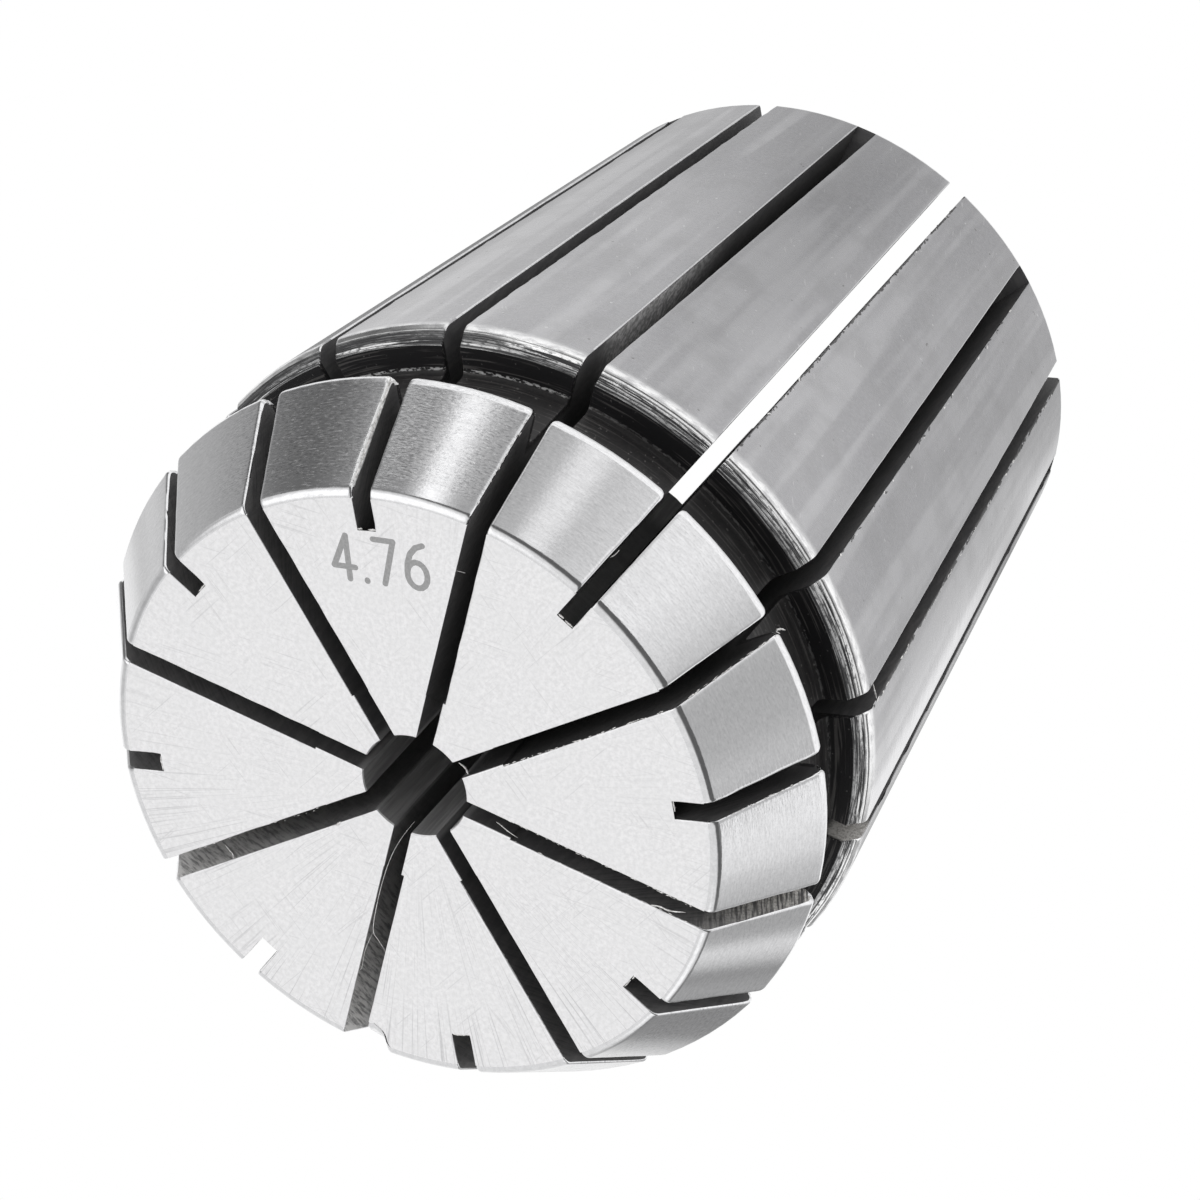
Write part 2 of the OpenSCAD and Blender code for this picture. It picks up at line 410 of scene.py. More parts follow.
# rounded edges, walls, floors and the closed seams of each slit
for j in range(16):
    kind = j % 2
    ca, sa = math.cos(S_AZ[j]), math.sin(S_AZ[j])
    o0, o1 = OPEN[kind]
    rows = open_rows(kind)
    place = lambda x, y, z: B.vert((x * ca - y * sa, x * sa + y * ca, z))
    c = F_SAW if kind == 0 else B_SAW
    fl = {}
    rnd = np.random.RandomState(100 + j)
    torn = np.convolve(rnd.uniform(0, 1, N + 2), (0.3, 0.4, 0.3), "valid")
    for sd in (1, -1):
        T = E[(j, sd)]
        for n in range(len(rows) - 1):
            a, b = rows[n], rows[n + 1]
            for k in range(K):
                q = [T["ids"][a][k], T["ids"][a][k + 1], T["ids"][b][k + 1], T["ids"][b][k]]
                tag = TAG[a]
                # below the groove, the + edges of the taper's slits carry a painted highlight through the brighter nose
                # finish
                if tag == TAPR and P[a][1] < 29.3:
                    if sd > 0:
                        tag = NOSE                   # painted highlight: the + edge takes the brighter nose finish
                    elif j in (13, 15) and k >= (0 if torn[a] > 0.42 else 2):
                        tag = BLACK
                if j == 1 and sd > 0 and tag == NOSE and P[a][0] > 14.0 and P[a][1] > 34.6:
                    tag = WORN
                B.face(q if sd < 0 else q[::-1], tag)
        # the saw's arc from the last open row back to the first
        p1, p0 = T["loc"][o1][K], T["loc"][o0][K]
        a1, a0 = math.atan2(p1[2] - c[1], p1[0] - c[0]), math.atan2(p0[2] - c[1], p0[0] - c[0])
        d = (a0 - a1 + math.pi) % (2 * math.pi) - math.pi
        n = 34
        r1, r0 = math.hypot(p1[0] - c[0], p1[2] - c[1]), math.hypot(p0[0] - c[0], p0[2] - c[1])
        pts = [p1]
        steps = [q / n for q in range(1, n)]
        if kind == 1:                            # a short lip at the end on the face
            e_ = 0.13 / (abs(d) * SAW)
            steps = sorted(steps + ([1 - e_] if p0[2] > LEN - 0.2 else [e_]))
        for u_ in steps:
            a, rr = a1 + d * u_, r1 + (r0 - r1) * u_
            pts.append((c[0] + rr * math.cos(a), sd * T["w"], c[1] + rr * math.sin(a)))
        pts.append(p0)
        fl[sd] = pts
        # wall: planar, one or two pieces
        wall = [(T["loc"][i][K], T["ids"][i][K]) for i in rows]
        floor = [(p, place(*p)) for p in pts]
        polys = []
        if T["step"]:
            inner = [k for k, i in enumerate(rows) if abs(abs(T["loc"][i][K][1]) - STEP_H) < 1e-6 and T["loc"][i][K][0] < STEP_X + 0.02]
            i0, i1 = inner[0], inner[-1]
            polys.append(wall[i0:i1 + 1])
            polys.append(wall[i1 + 1:] + floor[1:-1] + wall[:i0])
            q = [wall[i1][1], wall[i1 + 1][1], wall[i0 - 1][1], wall[i0][1]]
            B.face(q[::-1] if sd < 0 else q, WALL, False)
        else:
            polys.append(wall + floor[1:-1])
        for poly in polys:
            ids, co, seen = [], [], set()
            for p, v in poly:
                if v in seen:
                    continue
                seen.add(v)
                ids.append(v); co.append(Vector((p[0], p[2])))
            m = len(ids)
            res = delaunay_2d_cdt(co, [(k, (k + 1) % m) for k in range(m)], [], 1, 1e-7)
            back = [x[0] if x else None for x in res[3]]
            for t in res[2]:
                if any(back[k] is None for k in t):
                    continue
                q = [ids[back[k]] for k in t]
                A, Bq, C = (res[0][k] for k in t)
                ccw = (Bq - A).cross(C - A) > 0
                # seen from the slit: normal is -side * y
                if (sd > 0) == ccw:
                    pass
                else:
                    q = q[::-1]
                B.face(q, WALL, False)
    # floor strip, and the seam over the closed rows
    mids = []
    for q in range(len(fl[1])):
        a, b = fl[1][q], fl[-1][q]
        mids.append(place((a[0] + b[0]) / 2, 0.0, (a[2] + b[2]) / 2))
    A = [place(*p) for p in fl[1]]
    C = [place(*p) for p in fl[-1]]
    # the strip's two ends share the seam's middle vertex
    closed = [(o1 + k) % N for k in range(((o0 - o1) % N) + 1)]
    seam = {}
    for i in closed:
        r, z = P[i]
        seam[i] = place(r, 0.0, z)
    mids[0], mids[-1] = seam[o1], seam[o0]
    for q in range(len(A) - 1):
        tag = WALL
        if kind == 1 and min(fl[1][q][2], fl[1][q + 1][2]) > LEN - 0.5:
            tag = FACE
        B.face([A[q], A[q + 1], mids[q + 1], mids[q]], tag)
        B.face([mids[q], mids[q + 1], C[q + 1], C[q]], tag)
    for n in range(len(closed) - 1):
        a, b = closed[n], closed[n + 1]
        la, lb = E[(j, 1)]["ids"][a][K], E[(j, 1)]["ids"][b][K]
        ra, rb = E[(j, -1)]["ids"][a][K], E[(j, -1)]["ids"][b][K]
        B.face([ra, seam[a], seam[b], rb], TAG[a])
        B.face([seam[a], la, lb, seam[b]], TAG[a])

me = bpy.data.meshes.new("collet_body")
me.from_pydata([(x * MM, y * MM, z * MM) for x, y, z in B.v], [], B.f)
me.polygons.foreach_set("material_index", B.m)
me.polygons.foreach_set("use_smooth", B.smooth)
me.validate(verbose=False)
body = bpy.data.objects.new("collet_body", me)
bpy.context.scene.collection.objects.link(body)

import bmesh
bm = bmesh.new()
bm.from_mesh(me)
bmesh.ops.recalc_face_normals(bm, faces=bm.faces)
for e in bm.edges:
    if len(e.link_faces) != 2:
        e.smooth = False
        continue
    f, g = e.link_faces
    e.smooth = f.normal.angle(g.normal, 0) < math.radians(33) and f.smooth == g.smooth
loose = [e for e in bm.edges if len(e.link_faces) != 2]
print("MESH verts", len(bm.verts), "faces", len(bm.faces), "tris", sum(len(f.verts) - 2 for f in bm.faces),
      "open edges", len(loose), "volume mm3", round(bm.calc_volume() * 1e9, 1))
if loose:
    for e in loose[:12]:
        print("  open", [tuple(round(c * 1000, 3) for c in v.co) for v in e.verts], len(e.link_faces))
bm.to_mesh(me)
bm.free()

# ------------------------------------------------------------------ materials
class Nodes:
    """Short way to write a node tree."""

    def __init__(self, tree):
        self.t = tree
        self.n = tree.nodes
        self.l = tree.links

    def new(self, kind, **kw):
        n = self.n.new(kind)
        for k, v in kw.items():
            setattr(n, k, v)
        return n

    def put(self, sock, v):
        if isinstance(v, bpy.types.NodeSocket):
            self.l.new(v, sock)
        elif isinstance(v, (tuple, list)) and sock.type == "RGBA" and len(v) == 3:
            sock.default_value = (*v, 1)
        else:
            sock.default_value = v

    def math(self, op, a, b=0.0, c=0.0, clamp=False):
        n = self.new("ShaderNodeMath", operation=op, use_clamp=clamp)
        for i, v in enumerate((a, b, c)):
            if i < len(n.inputs):
                self.put(n.inputs[i], v)
        return n.outputs[0]

    def remap(self, v, a, b, c=0.0, d=1.0, smooth=True):
        n = self.new("ShaderNodeMapRange", interpolation_type="SMOOTHSTEP" if smooth else "LINEAR")
        for i, x in enumerate((v, a, b, c, d)):
            self.put(n.inputs[i], x)
        return n.outputs[0]

    def mix(self, f, a, b, blend="MIX"):
        n = self.new("ShaderNodeMix", data_type="RGBA", blend_type=blend)
        self.put(n.inputs[0], f)
        self.put(n.inputs[6], a)
        self.put(n.inputs[7], b)
        return n.outputs[2]

    def noise(self, vec, scale=1.0, detail=2.0, rough=0.5, dist=0.0):
        n = self.new("ShaderNodeTexNoise")
        self.put(n.inputs["Vector"], vec)
        n.inputs["Scale"].default_value = scale
        n.inputs["Detail"].default_value = detail
        n.inputs["Roughness"].default_value = rough
        n.inputs["Distortion"].default_value = dist
        return n.outputs["Fac"]

    def mixf(self, f, a, b):
        """Number between a and b."""
        return self.math("ADD", a, self.math("MULTIPLY", f, self.math("SUBTRACT", b, a)))

    def xyz(self, x, y, z=0.0):
        n = self.new("ShaderNodeCombineXYZ")
        for i, v in enumerate((x, y, z)):
            self.put(n.inputs[i], v)
        return n.outputs[0]

    def sep(self, v):
        n = self.new("ShaderNodeSeparateXYZ")
        self.put(n.inputs[0], v)
        return n.outputs

    def ramp(self, f, stops, interp="EASE"):
        n = self.new("ShaderNodeValToRGB")
        n.color_ramp.interpolation = interp
        el = n.color_ramp.elements
        while len(el) > 1:
            el.remove(el[-1])
        el[0].position = stops[0][0]
        c = stops[0][1]
        el[0].color = (*c, 1) if isinstance(c, (tuple, list)) else (c, c, c, 1)
        for q, c in stops[1:]:
            e = el.new(q)
            e.color = (*c, 1) if isinstance(c, (tuple, list)) else (c, c, c, 1)
        self.put(n.inputs[0], f)
        return n.outputs[0]

    def bump(self, h, strength, dist, normal=None):
        n = self.new("ShaderNodeBump")
        n.inputs["Strength"].default_value = strength
        n.inputs["Distance"].default_value = dist
        self.put(n.inputs["Height"], h)
        if normal is not None:
            self.put(n.inputs["Normal"], normal)
        return n.outputs[0]


def material(name):
    m = bpy.data.materials.new(name)
    m.use_nodes = True
    N_ = Nodes(m.node_tree)
    bsdf = m.node_tree.nodes["Principled BSDF"]
    tc = N_.new("ShaderNodeTexCoord")
    x, y, z = N_.sep(tc.outputs["Object"])
    x, y, z = (N_.math("MULTIPLY", v, 1000.0) for v in (x, y, z))
    ang = N_.math("ARCTAN2", y, x)
    rad = N_.math("SQRT", N_.math("ADD", N_.math("MULTIPLY", x, x), N_.math("MULTIPLY", y, y)))
    return m, N_, bsdf, x, y, z, ang, rad


def ground_face(mark=0.0):
    """Front and rear faces: ground bright, with fans of fine scratches."""
    m, n, b, x, y, z, ang, rad = material("ground_face")
    # fine mottling
    grain = n.noise(n.xyz(x, y, z), 5.0, 3.0, 0.65)
    cloud = n.noise(n.xyz(x, y, z), 0.55, 2.0, 0.5)
    # fans of thin scratches that run out from the bore, in patches, strongest on the -X side
    fanv = n.math("MULTIPLY", ang, 150.0)
    fan = n.noise(n.xyz(fanv, n.math("MULTIPLY", rad, 0.12)), 1.0, 2.0, 0.6)
    patch = n.noise(n.xyz(n.math("MULTIPLY", ang, 2.6), n.math("MULTIPLY", rad, 0.22), 4.0), 1.0, 1.0, 0.5)
    side = n.remap(n.math("ADD", n.math("MULTIPLY", x, -0.9), n.math("MULTIPLY", y, -0.15)), -4.0, 8.5, 0.22, 1.0)
    s1 = n.math("MULTIPLY", n.remap(fan, 0.56, 0.66), n.remap(patch, 0.34, 0.54, 0.25, 1.0))
    s1 = n.math("MULTIPLY", s1, n.math("MULTIPLY", side, n.remap(rad, 2.6, 8.0, 0.25, 1.0)))
    # two sets of straight scratches across the segments
    def straight(deg, dens, length, lo, seed):
        c, d = math.cos(math.radians(deg)), math.sin(math.radians(deg))
        u = n.math("ADD", n.math("MULTIPLY", x, c * dens), n.math("MULTIPLY", y, d * dens))
        v = n.math("ADD", n.math("MULTIPLY", x, -d * length), n.math("MULTIPLY", y, c * length))
        q = n.noise(n.xyz(u, v, seed), 1.0, 1.0, 0.5)
        g = n.noise(n.xyz(n.math("MULTIPLY", x, 0.35), n.math("MULTIPLY", y, 0.35), seed + 3.0), 1.0, 1.0, 0.5)
        return n.math("MULTIPLY", n.remap(q, lo, lo + 0.05, 0.0, 0.55), n.remap(g, 0.48, 0.62))
    s2 = straight(62.0, 10.0, 0.20, 0.65, 1.0)
    s3 = straight(-38.0, 10.0, 0.22, 0.65, 9.0)
    s4 = straight(8.0, 11.0, 0.22, 0.65, 17.0)
    marks = n.math("MAXIMUM", s1, n.math("MAXIMUM", s2, n.math("MAXIMUM", s3, s4)))
    col = n.mix(n.remap(grain, 0.32, 0.70), (0.80, 0.797, 0.805), (0.925, 0.92, 0.928))
    col = n.mix(n.math("MULTIPLY", n.remap(cloud, 0.35, 0.7), 0.35), col, (0.84, 0.84, 0.845))
    col = n.mix(n.math("MULTIPLY", marks, 0.47), col, (0.42, 0.42, 0.43))
    n.put(b.inputs["Base Color"], col)
    b.inputs["Metallic"].default_value = 1.0
    n.put(b.inputs["Roughness"], n.remap(grain, 0.2, 0.8, 0.27, 0.36, False))
    h = n.math("ADD", n.math("MULTIPLY", grain, 0.4), n.math("MULTIPLY", marks, -0.6))
    n.put(b.inputs["Normal"], n.bump(h, 0.12, 0.00002))
    return m


def ground_nose():
    """Nose cone and edge roundings: ground round the axis, short fine marks, with painted sparkle and painted shade on
    some segments.
    """
    m, n, b, x, y, z, ang, rad = material("ground_nose")
    arcl = n.math("MULTIPLY", ang, 15.0)
    slope = n.math("MULTIPLY", z, 1.15)
    streak = n.noise(n.xyz(n.math("MULTIPLY", arcl, 2.6), n.math("MULTIPLY", slope, 10.0), 0.0), 1.0, 2.0, 0.6)
    long_ = n.noise(n.xyz(n.math("MULTIPLY", arcl, 0.5), n.math("MULTIPLY", slope, 5.0), 5.0), 1.0, 2.0, 0.5)
    grain = n.noise(n.xyz(x, y, z), 8.0, 2.0, 0.6)
    cloud = n.noise(n.xyz(x, y, z), 0.5, 2.0, 0.5)
    dash = n.noise(n.xyz(n.math("MULTIPLY", arcl, 4.2), n.math("MULTIPLY", slope, 14.0), 8.0), 1.0, 3.0, 0.65)
    # coarser on the segments at +25 degrees, and again past -110; there the dark and white dashes in the colour are
    # painted shade and painted sparkle where the highlight falls
    coarse_and_sparkle = n.math("MAXIMUM", n.remap(n.math("ABSOLUTE", n.math("SUBTRACT", ang, 0.44)), 0.55, 0.38), n.remap(ang, -1.85, -1.98))
    coarse_and_sparkle = n.math("MULTIPLY", n.math("ADD", n.math("MULTIPLY", coarse_and_sparkle, 0.75), 0.25), n.remap(z, 39.4, 39.1))
    dull = n.math("MULTIPLY", n.remap(dash, 0.46, 0.66), n.math("MULTIPLY", coarse_and_sparkle, n.remap(cloud, 0.30, 0.65, 0.5, 1.0)))
    v = n.math("ADD", n.math("MULTIPLY", streak, 0.62), n.math("MULTIPLY", grain, 0.38))
    col = n.mix(n.remap(v, 0.32, 0.68), (0.67, 0.67, 0.68), (0.78, 0.78, 0.79))
    # painted shade: dark dashes here, and painted sparkle: white dashes two lines down, strongest on the segments named
    # above
    col = n.mix(n.math("MULTIPLY", n.remap(dash, 0.50, 0.36), n.math("MULTIPLY", coarse_and_sparkle, 0.72)), col, (0.40, 0.40, 0.41))
    col = n.mix(n.math("MULTIPLY", n.remap(long_, 0.35, 0.65), 0.14), col, (0.63, 0.63, 0.635))
    col = n.mix(n.math("MULTIPLY", n.remap(dash, 0.58, 0.70), n.math("MULTIPLY", coarse_and_sparkle, 0.8)), col, (1.0, 1.0, 1.0))
    n.put(b.inputs["Base Color"], col)
    b.inputs["Metallic"].default_value = 1.0
    # streaks that catch light from wide round them, on the segment at +34 degrees
    spark = n.noise(n.xyz(n.math("MULTIPLY", arcl, 2.0), n.math("MULTIPLY", slope, 12.0), 31.0), 1.0, 4.0, 0.7)
    spark = n.math("MULTIPLY", n.remap(spark, 0.50, 0.66), n.remap(n.math("ABSOLUTE", n.math("SUBTRACT", ang, 0.62)), 0.42, 0.26))
    rough = n.math("ADD", n.remap(long_, 0.3, 0.7, 0.10, 0.14, False), n.math("MULTIPLY", dull, 0.09))
    n.put(b.inputs["Roughness"], n.math("ADD", rough, n.math("MULTIPLY", spark, 0.25)))
    h = n.math("ADD", n.math("MULTIPLY", v, 0.6), n.math("MULTIPLY", n.math("MULTIPLY", dash, coarse_and_sparkle), 0.4))
    n.put(b.inputs["Normal"], n.bump(h, 0.20, 0.00003))
    return m


def satin_taper():
    """Long taper: satin ground, softly clouded, with small specks and a few fine scratches; painted highlight and shade
    bands by azimuth, and a painted highlight over the shoulder.
    """
    m, n, b, x, y, z, ang, rad = material("satin_taper")
    arcl = n.math("MULTIPLY", ang, 15.0)
    grain = n.noise(n.xyz(x, y, z), 6.0, 3.0, 0.65)
    along = n.noise(n.xyz(n.math("MULTIPLY", arcl, 0.8), n.math("MULTIPLY", z, 6.0), 0.0), 1.0, 2.0, 0.5)
    cloud = n.noise(n.xyz(n.math("MULTIPLY", arcl, 0.24), n.math("MULTIPLY", z, 0.10), 1.0), 1.0, 2.0, 0.5)
    blot = n.noise(n.xyz(x, y, z), 0.45, 3.0, 0.6)
    bands = n.noise(n.xyz(n.math("MULTIPLY", arcl, 0.62), n.math("MULTIPLY", z, 0.035), 7.0), 1.0, 2.0, 0.5)
    speck = n.remap(n.noise(n.xyz(x, y, z), 3.3, 1.0, 0.4), 0.765, 0.80)
    pit = n.remap(n.noise(n.xyz(y, z, x), 3.4, 1.0, 0.4), 0.775, 0.81)
    u = n.math("ADD", n.math("MULTIPLY", arcl, 6.5), n.math("MULTIPLY", z, 3.0))
    w = n.math("ADD", n.math("MULTIPLY", arcl, -0.40), n.math("MULTIPLY", z, 0.85))
    scr = n.math("MULTIPLY", n.remap(n.noise(n.xyz(u, w, 2.0), 1.0, 1.0, 0.5), 0.70, 0.74),
                 n.remap(n.noise(n.xyz(x, y, z), 0.25, 1.0, 0.5), 0.52, 0.60))
    col = n.mix(n.remap(grain, 0.3, 0.7), (0.360, 0.358, 0.370), (0.412, 0.410, 0.422))
    col = n.mix(n.math("MULTIPLY", n.remap(cloud, 0.32, 0.68), 0.45), col, (0.455, 0.452, 0.462))
    col = n.mix(n.math("MULTIPLY", n.remap(bands, 0.47, 0.60), 0.62), col, (0.54, 0.538, 0.550))
    col = n.mix(n.math("MULTIPLY", n.remap(blot, 0.42, 0.70), 0.35), col, (0.325, 0.323, 0.328))
    col = n.mix(n.math("MULTIPLY", speck, 0.40), col, (0.80, 0.80, 0.80))
    col = n.mix(n.math("MULTIPLY", scr, 0.25), col, (0.78, 0.78, 0.78))
    col = n.mix(n.math("MULTIPLY", pit, 0.55), col, (0.15, 0.145, 0.14))
    # painted highlight at -86 degrees, and painted shade past -91 and at +50: tone bands that stand in for the light
    # there
    painted_highlight_band = n.remap(n.math("ABSOLUTE", n.math("ADD", ang, 1.501)), 0.085, 0.03)
    col = n.mix(n.math("MULTIPLY", painted_highlight_band, 0.50), col, (0.62, 0.618, 0.63))
    painted_shade_band = n.math("MULTIPLY", n.remap(n.math("ABSOLUTE", n.math("SUBTRACT", ang, 0.875)), 0.10, 0.05), n.remap(z, 6.0, 14.0))
    painted_shade_band = n.math("MAXIMUM", painted_shade_band, n.math("MULTIPLY", n.remap(ang, -1.588, -1.62), n.remap(ang, -1.83, -1.75)))
    col = n.mix(n.math("MULTIPLY", painted_shade_band, 0.60), col, (0.18, 0.18, 0.185))
    # painted highlight over the shoulder, where its rounded edge catches the light; smoother there too
    shoulder_highlight = n.remap(z, float(sh_a[-1][1]) - 0.25, float(sh0[1]) + 0.02)
    shoulder_highlight = n.math("MULTIPLY", shoulder_highlight, n.remap(n.noise(n.xyz(n.math("MULTIPLY", arcl, 1.6), n.math("MULTIPLY", z, 4.0), 3.0), 1.0, 3.0, 0.6), 0.34, 0.60, 0.35, 1.0))
    col = n.mix(shoulder_highlight, col, (0.88, 0.88, 0.88))
    n.put(b.inputs["Base Color"], col)
    b.inputs["Metallic"].default_value = 1.0
    n.put(b.inputs["Roughness"], n.math("SUBTRACT", n.remap(along, 0.3, 0.7, 0.22, 0.29, False), n.math("MULTIPLY", shoulder_highlight, 0.10)))
    h = n.math("ADD", n.math("MULTIPLY", grain, 0.7), n.math("MULTIPLY", along, 0.3))
    n.put(b.inputs["Normal"], n.bump(h, 0.10, 0.00003))
    return m


def turned_flank():
    """Turned chamfer: black, with painted glints along broken crests, brighter towards the shoulder."""
    m, n, b, x, y, z, ang, rad = material("turned_flank")
    arcl = n.math("MULTIPLY", ang, 15.0)
    # 0 at the groove, 1 at the shoulder
    s_ = n.math("MULTIPLY", n.math("SUBTRACT", float(fl0[1]), z), 1.0 / float(fl0[1] - sh0[1]))
    wob = n.noise(n.xyz(n.math("MULTIPLY", arcl, 1.4), n.math("MULTIPLY", z, 3.0), 0.0), 1.0, 3.0, 0.6)
    line_ = n.noise(n.xyz(n.math("MULTIPLY", arcl, 0.35), n.math("MULTIPLY", s_, 11.0), 2.0), 1.0, 2.0, 0.55)
    crest_breaks = n.noise(n.xyz(n.math("MULTIPLY", arcl, 3.0), n.math("MULTIPLY", s_, 7.0), 6.0), 1.0, 2.0, 0.6)
    turned = n.remap(ang, 0.16, 0.34)
    up = n.mixf(turned, n.remap(s_, 0.0, 0.8, 0.25, 1.0, False), n.remap(s_, 0.55, 0.25, 0.16, 0.8, False))
    # painted glints: bright crests of the turned rings, and bright lines along the shoulder and, past +20 degrees,
    # along the groove, painted into the colour
    bright = n.math("MULTIPLY", n.remap(line_, 0.46, 0.56), n.remap(crest_breaks, 0.36, 0.52, 0.30, 1.0))
    bright = n.math("MULTIPLY", bright, up)
    shoulder_glint = n.math("MULTIPLY", n.remap(s_, 0.82, 0.95), n.remap(wob, 0.30, 0.5, 0.45, 1.0))
    low = n.math("MULTIPLY", n.remap(s_, 0.16, 0.05), n.remap(wob, 0.34, 0.48, 0.5, 1.0))
    bright = n.math("MAXIMUM", bright, n.mixf(turned, shoulder_glint, low))
    n.put(b.inputs["Base Color"], n.mix(bright, (0.045, 0.045, 0.047), (0.95, 0.95, 0.95)))
    n.put(b.inputs["Metallic"], n.remap(bright, 0.0, 0.6, 0.35, 1.0, False))
    n.put(b.inputs["Roughness"], n.remap(wob, 0.3, 0.7, 0.26, 0.42, False))
    n.put(b.inputs["Normal"], n.bump(n.math("ADD", n.math("MULTIPLY", wob, 0.5), n.math("MULTIPLY", line_, 0.5)), 0.35, 0.00005))
    return m


def black_oxide():
    """Slit walls, groove and bore: blackened, with saw and tool marks, scuffed grey patches that are partly painted
    light, painted shade on some slits and a painted glint ring.
    """
    m, n, b, x, y, z, ang, rad = material("black_oxide")
    arcl = n.math("MULTIPLY", ang, 15.0)
    turn = n.noise(n.xyz(n.math("MULTIPLY", arcl, 0.30), n.math("MULTIPLY", z, 8.0), n.math("MULTIPLY", rad, 8.0)), 1.0, 2.0, 0.6)
    saw = n.noise(n.xyz(n.math("MULTIPLY", rad, 4.0), n.math("MULTIPLY", z, 0.9), n.math("MULTIPLY", arcl, 0.05)), 1.0, 3.0, 0.65)
    diag = n.noise(n.xyz(n.math("ADD", n.math("MULTIPLY", rad, 4.5), n.math("MULTIPLY", z, 4.5)),
                         n.math("SUBTRACT", n.math("MULTIPLY", rad, 0.3), n.math("MULTIPLY", z, 0.3)), 3.0), 1.0, 3.0, 0.65)
    grain = n.noise(n.xyz(x, y, z), 10.0, 2.0, 0.65)
    speck = n.remap(n.noise(n.xyz(x, y, z), 5.0, 1.0, 0.5), 0.70, 0.75)
    col = n.mix(n.remap(saw, 0.35, 0.75), (0.098, 0.097, 0.100), (0.140, 0.137, 0.137))
    # groove: fine turned rings, browner on its floor
    ingroove = n.math("MULTIPLY", n.math("COMPARE", z, 32.7, 2.2), n.remap(rad, 14.0, 14.45))
    floor_ = n.math("MULTIPLY", ingroove, n.remap(rad, 14.95, 14.75))
    lines = n.remap(turn, 0.54, 0.66)
    col = n.mix(ingroove, col, n.mix(lines, (0.020, 0.0195, 0.021), (0.11, 0.106, 0.104)))
    col = n.mix(n.math("MULTIPLY", floor_, n.remap(grain, 0.35, 0.65, 0.15, 0.6)), col, (0.045, 0.042, 0.041))
    col = n.mix(n.math("MULTIPLY", n.math("MULTIPLY", speck, ingroove), 0.35), col, (0.35, 0.34, 0.33))
    # bore: brushed along its length
    bore_ = n.remap(rad, 2.75, 2.5)
    brush = n.noise(n.xyz(n.math("MULTIPLY", ang, 16.0), n.math("MULTIPLY", z, 0.30), 0.0), 1.0, 2.0, 0.6)
    col = n.mix(bore_, col, n.mix(n.remap(brush, 0.35, 0.75), (0.27, 0.267, 0.270), (0.42, 0.416, 0.416)))
    # lighter grey just inside the front face, strongest at two of the slits and towards the outside: partly scuffed,
    # partly painted light that falls in through the slits' mouths
    scuff_and_light = n.remap(z, 34.8, 38.4)
    where = n.ramp(n.math("ADD", n.math("DIVIDE", ang, 2 * math.pi), 0.5),
                   [(0.0, 1.0), (0.02, 0.9), (0.05, 0.10), (0.20, 0.10), (0.235, 0.14), (0.265, 0.14), (0.30, 0.1),
                    (0.55, 0.08), (0.84, 0.1), (0.86, 0.85), (0.89, 0.85), (0.91, 0.1), (0.96, 0.1), (0.98, 1.0), (1.0, 1.0)], "LINEAR")
    out_ = n.remap(rad, 4.5, 13.2, 0.10, 1.0)
    scuff_and_light = n.math("MULTIPLY", n.math("MULTIPLY", scuff_and_light, where), out_)
    scuff_and_light = n.math("MULTIPLY", scuff_and_light, n.remap(diag, 0.36, 0.58, 0.15, 1.0))
    col = n.mix(n.math("MULTIPLY", scuff_and_light, 0.95), col, (0.86, 0.85, 0.84))
    # grey scratched band of the slit walls just behind the groove
    low = n.math("MULTIPLY", n.math("MULTIPLY", n.remap(z, 13.0, 21.0), n.remap(z, 28.8, 26.0)), n.remap(rad, 12.0, 14.5))
    low = n.math("MULTIPLY", low, n.remap(n.noise(n.xyz(x, y, z), 4.0, 3.0, 0.65), 0.40, 0.62, 0.30, 1.0))
    col = n.mix(n.math("MULTIPLY", low, n.remap(n.math("ABSOLUTE", ang), 0.30, 0.10, 0.02, 0.75)), col, (0.80, 0.79, 0.79))
    # painted shade: the slits from -75 to -20 degrees are blacker from the groove forward; a painted glint: a broken
    # bright ring in the groove's body wall
    slit_shade = n.remap(n.math("ABSOLUTE", n.math("ADD", ang, 0.83)), 0.50, 0.40, 1.0, 0.55)
    slit_shade = n.math("MAXIMUM", slit_shade, n.remap(z, 34.0, 30.0))
    col = n.mix(1.0, col, n.xyz(slit_shade, slit_shade, slit_shade), "MULTIPLY")
    # painted glint: a broken near-white line where the groove's floor meets the body's chamfer
    glint_ring = n.math("MULTIPLY", n.remap(n.math("ABSOLUTE", n.math("SUBTRACT", rad, 14.83)), 0.09, 0.03), n.math("COMPARE", z, 30.85, 0.14))
    glint_breaks = n.remap(n.noise(n.xyz(n.math("MULTIPLY", arcl, 3.2), n.math("MULTIPLY", rad, 9.0), 21.0), 1.0, 2.0, 0.6), 0.46, 0.56)
    glint_ring = n.math("MULTIPLY", n.math("MULTIPLY", glint_ring, glint_breaks), n.remap(n.math("ABSOLUTE", n.math("SUBTRACT", ang, 0.6)), 0.75, 0.45, 0.10, 0.7))
    col = n.mix(glint_ring, col, (0.95, 0.95, 0.95))
